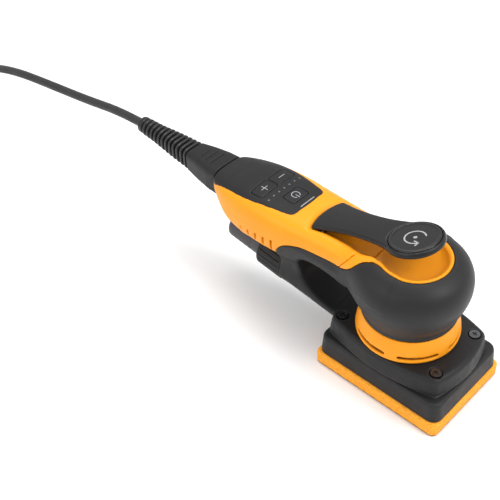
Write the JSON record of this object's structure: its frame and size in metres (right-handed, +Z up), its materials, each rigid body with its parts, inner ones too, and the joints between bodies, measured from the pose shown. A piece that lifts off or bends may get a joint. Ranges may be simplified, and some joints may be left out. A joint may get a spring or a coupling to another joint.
{
  "type": "orbital sander",
  "caption": "Palm-grip orbital sander with a rectangular pad, start lever over the head, rear handle with keypad, swivel dust outlet and mains cable.",
  "frame": {"origin": "on the spindle axis, in the plane of the pad's grip face", "axes": "+X forward to the pad's front edge, +Y to the tool's left, +Z up; the handle and cable run towards -X"},
  "size_m": [0.7253, 0.1056, 0.1217],
  "materials": {
    "yellow_plastic": "satin moulded",
    "black_plastic": "fine spark-eroded texture",
    "soft_grip": "matte overmoulded",
    "keypad_plastic": "satin",
    "grey_plastic": "smooth satin",
    "light_pipe": "frosted",
    "pad_foam": "closed-cell foam",
    "grip_facing": "moulded hooks",
    "steel": "ground",
    "screw_steel": "black zinc",
    "aluminium": "cast",
    "magnet": "nickel plated",
    "copper": "enamelled wire",
    "circuit_board": "solder mask",
    "cable_rubber": "matte",
    "brass": "plated"
  },
  "bodies": {
    "housing": {"bearing_plate": "aluminium", "board_components": "black_plastic", "bowl_cover": "yellow_plastic", "control_board": "circuit_board", "cord_coil": "cable_rubber", "cord_tail": "cable_rubber", "cord_tie": "soft_grip", "dust_duct": "black_plastic", "dust_seal": "soft_grip", "handle_shell": "yellow_plastic", "head_grip": "soft_grip", "housing_screws": "screw_steel", "inlet_pins": "brass", "inlet_socket": "black_plastic", "keypad_cover": "keypad_plastic", "lever_pin": "steel", "lever_spring": "steel", "lower_bearing_balls": "steel", "lower_bearing_outer_ring": "steel", "mains_plug": "cable_rubber", "motor_can": "black_plastic", "motor_wires": "copper", "pad_support_legs": "soft_grip", "plug_contacts": "brass", "plug_housing": "black_plastic", "plug_pins": "brass", "power_cord": "cable_rubber", "rear_column": "black_plastic", "shroud": "black_plastic", "shroud_screws": "screw_steel", "start_sensor": "black_plastic", "stator_core": "steel", "stator_windings": "copper", "status_leds": "light_pipe", "strain_relief": "soft_grip", "upper_bearing_balls": "steel", "upper_bearing_outer_ring": "steel", "vent_ring": "yellow_plastic"},
    "spindle": {"motor_shaft": "steel", "counterweight": "steel", "cooling_fan": "black_plastic", "rotor_core": "steel", "rotor_magnets": "magnet", "orbit_bearing_inner_ring": "steel", "lower_bearing_inner_ring": "steel", "upper_bearing_inner_ring": "steel"},
    "pad": {"pad_facing": "grip_facing", "pad_foam": "pad_foam", "pad_plate": "black_plastic", "pad_hub": "aluminium", "pad_screws": "screw_steel", "orbit_bearing_outer_ring": "steel", "orbit_bearing_balls": "steel"},
    "start_paddle": {"start_lever": "black_plastic", "lever_badge": "black_plastic"},
    "plus_key": {"button_plus": "keypad_plastic"},
    "minus_key": {"button_minus": "keypad_plastic"},
    "power_key": {"button_power": "keypad_plastic"},
    "swivel": {"hose_collar": "black_plastic", "hose_tube": "grey_plastic"}
  },
  "joints": [
    {"name": "spindle_spin", "type": "hinge", "parent": "housing", "child": "spindle", "pos_m": [0, 0, 0.045], "axis": [0, 0, 1], "continuous": true, "deforming": ["pad_support_legs"]},
    {"name": "pad_orbit", "type": "hinge", "parent": "spindle", "child": "pad", "pos_m": [0.0015, 0, 0.0165], "axis": [0, 0, 1], "continuous": true, "deforming": ["pad_support_legs"]},
    {"name": "lever_press", "type": "hinge", "parent": "housing", "child": "start_paddle", "pos_m": [-0.064, 0, 0.0939], "axis": [0, 1, 0], "range_deg": [0, 10], "stiffness_Nm_per_rad": 0.6, "springref_deg": -8.59, "deforming": ["lever_spring"]},
    {"name": "plus_press", "type": "slide", "parent": "housing", "child": "plus_key", "axis": [0, 0, -1], "range_m": [0, 0.0006], "stiffness_N_per_m": 900},
    {"name": "minus_press", "type": "slide", "parent": "housing", "child": "minus_key", "axis": [0, 0, -1], "range_m": [0, 0.0006], "stiffness_N_per_m": 900},
    {"name": "power_press", "type": "slide", "parent": "housing", "child": "power_key", "axis": [0, 0, -1], "range_m": [0, 0.0006], "stiffness_N_per_m": 900},
    {"name": "hose_swivel", "type": "hinge", "parent": "housing", "child": "swivel", "pos_m": [-0.098, 0, 0.0395], "axis": [-0.9903, 0, 0.1392], "continuous": true}
  ],
  "couplings": [
    {"joint": "pad_orbit", "follows": "spindle_spin", "ratio": -1}
  ]
}
